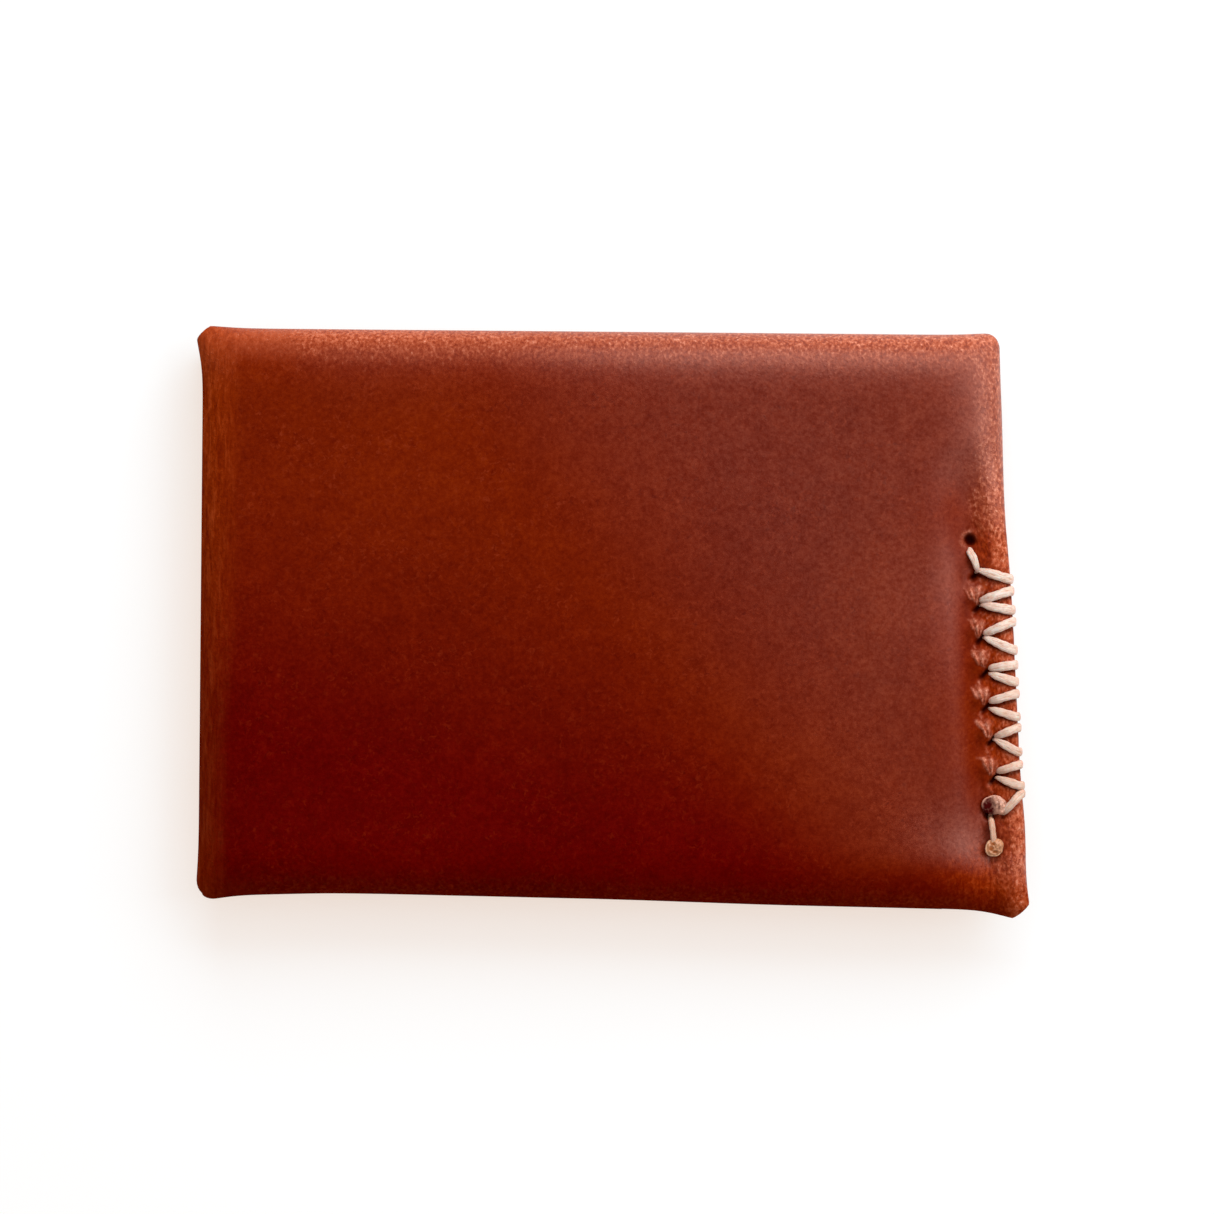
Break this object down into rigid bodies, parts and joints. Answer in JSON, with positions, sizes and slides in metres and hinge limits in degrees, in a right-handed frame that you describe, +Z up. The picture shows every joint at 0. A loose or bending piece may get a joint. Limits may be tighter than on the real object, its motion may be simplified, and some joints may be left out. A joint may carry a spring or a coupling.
{
  "type": "card holder",
  "caption": "Flat folded leather card holder with a closing flap, an open-topped card pocket and a whipstitched right-hand edge.",
  "frame": {"origin": "under the middle of the outline, on the outer face of the closed flap, which lies on the table", "axes": "+X along the flap's fold towards the stitched edge, +Y from the bottom edge towards the flap's fold, +Z up through the layers to the plain back face"},
  "size_m": [0.1029, 0.0716, 0.0107],
  "materials": {
    "leather_back": "satin",
    "leather_front": "satin",
    "thread": "matte",
    "melted_thread": "gloss"
  },
  "bodies": {
    "case": {"back_panel": "leather_back", "front_panel": "leather_front", "bottom_tab": "leather_front", "flap_fold": "leather_back", "stitch_thread": "thread", "thread_end_bead": "melted_thread", "thread_knot_bead": "melted_thread"},
    "flap": {"flap": "leather_front"}
  },
  "joints": [
    {"name": "flap_hinge", "type": "hinge", "parent": "case", "child": "flap", "pos_m": [0, 0.03019, 0.00535], "axis": [1, 0, 0], "range_deg": [0, 175], "stiffness_Nm_per_rad": 0.02, "deforming": ["flap_fold"]}
  ]
}
